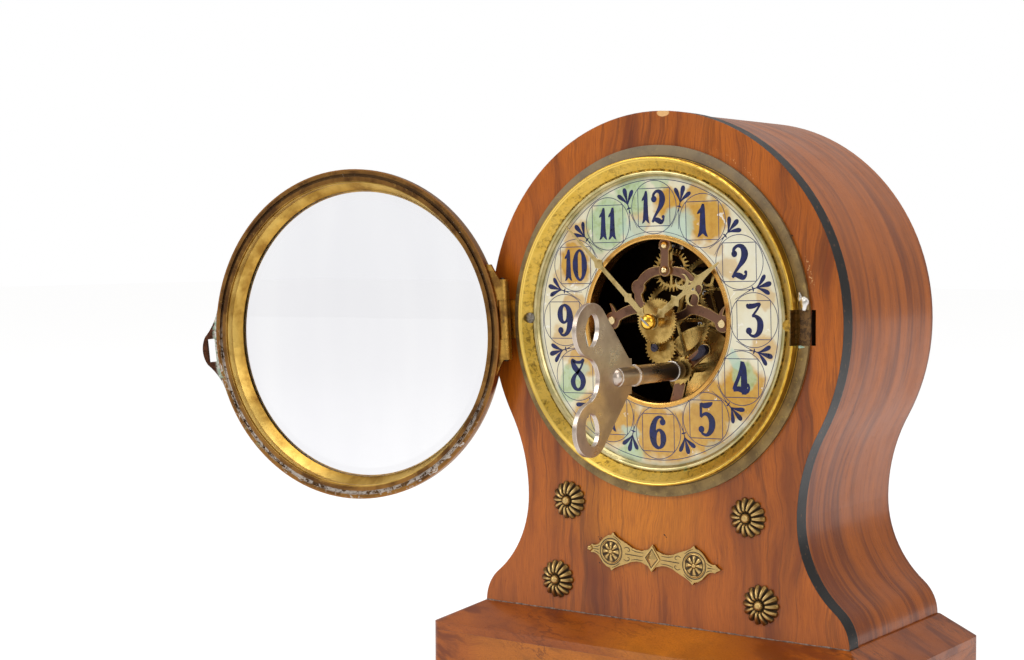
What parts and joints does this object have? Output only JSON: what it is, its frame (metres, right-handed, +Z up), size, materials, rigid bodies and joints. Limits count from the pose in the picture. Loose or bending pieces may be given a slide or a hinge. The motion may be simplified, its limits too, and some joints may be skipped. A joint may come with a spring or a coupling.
{
  "type": "dome mantel clock",
  "caption": "Dome-topped walnut mantel clock with a glazed round door, an open dial centre over its wheelwork, a bevelled plinth and a winding key.",
  "frame": {"origin": "middle of the plinth's underside", "axes": "+X to the clock's right as seen from the front, +Y to the back, +Z up"},
  "size_m": [0.346, 0.1674, 0.254],
  "materials": {
    "walnut": "satin polish",
    "pine": "matt",
    "gilt_brass": "aged gilt",
    "antique_brass": "antique",
    "movement_brass": "brushed",
    "copper_brass": "darkened",
    "dark_brass": "dull",
    "steel": "polished",
    "blued_steel": "blued",
    "nickel_steel": "brushed",
    "dial": "semi-gloss printed",
    "clear_glass": "polished"
  },
  "bodies": {
    "case": {"plinth_frame": "walnut", "plinth_cap": "walnut", "base_board": "pine", "front_board": "walnut", "case_shell": "walnut", "back_board": "pine", "rosettes": "antique_brass", "brass_mount": "antique_brass", "bezel_ring": "gilt_brass", "bezel_screws": "steel", "dial_plate": "dial", "dial_pan": "dark_brass", "centre_ring": "gilt_brass", "movement_drum": "dark_brass", "front_plate": "copper_brass", "back_plate": "copper_brass", "plate_pillars": "movement_brass", "escape_cock": "copper_brass", "pivot_caps": "movement_brass", "minute_wheel_stud": "blued_steel", "click_screw": "blued_steel", "suspension_cock": "dark_brass", "case_hinge_leaf": "gilt_brass", "hinge_pin": "steel", "back_hinge_leaf": "antique_brass"},
    "door": {"door_ring": "gilt_brass", "glass_retainer": "gilt_brass", "door_glass": "clear_glass", "door_hinge_leaf": "gilt_brass", "thumb_tab": "gilt_brass"},
    "minute": {"cannon_pinion": "movement_brass", "minute_hand": "gilt_brass", "hand_nut": "gilt_brass"},
    "minute_wheel": {"minute_wheel": "movement_brass"},
    "hour": {"hour_wheel": "movement_brass", "hour_hand": "gilt_brass"},
    "centre": {"centre_arbor": "steel", "centre_wheel": "movement_brass"},
    "third": {"third_arbor": "steel", "third_wheel": "movement_brass"},
    "escape": {"escape_arbor": "steel", "escape_wheel": "movement_brass"},
    "barrel": {"mainspring_barrel": "movement_brass", "barrel_cap": "movement_brass", "mainspring": "blued_steel"},
    "winding": {"winding_arbor": "steel", "ratchet_wheel": "movement_brass"},
    "key": {"key_barrel": "nickel_steel", "key_bow": "nickel_steel"},
    "click": {"click": "blued_steel"},
    "pallets": {"pallet_arbor": "steel", "pallet_anchor": "steel", "crutch": "steel"},
    "pendulum": {"pendulum_rod": "steel", "pendulum_bob": "movement_brass"},
    "back_door": {"back_door": "antique_brass", "back_knob": "antique_brass"}
  },
  "joints": [
    {"name": "door_hinge", "type": "hinge", "parent": "case", "child": "door", "pos_m": [-0.0776, -0.0423, 0.1635], "axis": [-0.0593, 0, 0.9982], "range_deg": [-1.5, 108]},
    {"name": "minute_turn", "type": "hinge", "parent": "case", "child": "minute", "pos_m": [0, -0.0365, 0.1645], "axis": [0, 1, 0], "range_deg": [-135, 185]},
    {"name": "minute_wheel_turn", "type": "hinge", "parent": "case", "child": "minute_wheel", "pos_m": [0, -0.0365, 0.1532], "axis": [0, 1, 0], "range_deg": [-95, 70]},
    {"name": "hour_turn", "type": "hinge", "parent": "case", "child": "hour", "pos_m": [0, -0.0365, 0.1645], "axis": [0, 1, 0], "range_deg": [-12, 16]},
    {"name": "third_turn", "type": "hinge", "parent": "case", "child": "third", "pos_m": [0.01349, -0.0365, 0.17799], "axis": [0, 1, 0], "continuous": true},
    {"name": "centre_turn", "type": "hinge", "parent": "case", "child": "centre", "pos_m": [0, -0.0365, 0.1645], "axis": [0, 1, 0], "continuous": true},
    {"name": "escape_turn", "type": "hinge", "parent": "case", "child": "escape", "pos_m": [0, -0.0365, 0.1863], "axis": [0, 1, 0], "continuous": true},
    {"name": "barrel_turn", "type": "hinge", "parent": "case", "child": "barrel", "pos_m": [0.00803, -0.0365, 0.14348], "axis": [0, 1, 0], "continuous": true},
    {"name": "winding_turn", "type": "hinge", "parent": "case", "child": "winding", "pos_m": [0.00803, -0.0365, 0.14348], "axis": [0, 1, 0], "continuous": true},
    {"name": "key_draw", "type": "slide", "parent": "winding", "child": "key", "axis": [0, -1, 0], "range_m": [0, 0.06]},
    {"name": "click_lift", "type": "hinge", "parent": "case", "child": "click", "pos_m": [0.01953, -0.0365, 0.15248], "axis": [0, 1, 0], "range_deg": [0, 8]},
    {"name": "pendulum_swing", "type": "hinge", "parent": "case", "child": "pendulum", "pos_m": [0, -0.0365, 0.197], "axis": [0, 1, 0], "range_deg": [-3, 3]},
    {"name": "pallets_rock", "type": "hinge", "parent": "case", "child": "pallets", "pos_m": [0, -0.0365, 0.197], "axis": [0, 1, 0], "range_deg": [-3, 3]},
    {"name": "back_door_hinge", "type": "hinge", "parent": "case", "child": "back_door", "pos_m": [-0.0483, 0.051, 0.1645], "axis": [0, 0, 1], "range_deg": [0, 150]}
  ],
  "couplings": [
    {"joint": "minute_wheel_turn", "follows": "minute_turn", "ratio": -0.5},
    {"joint": "hour_turn", "follows": "minute_turn", "ratio": 0.083333},
    {"joint": "centre_turn", "follows": "third_turn", "ratio": -0.125},
    {"joint": "escape_turn", "follows": "third_turn", "ratio": -7.5},
    {"joint": "barrel_turn", "follows": "third_turn", "ratio": 0.015625},
    {"joint": "pallets_rock", "follows": "pendulum_swing", "ratio": 1}
  ]
}
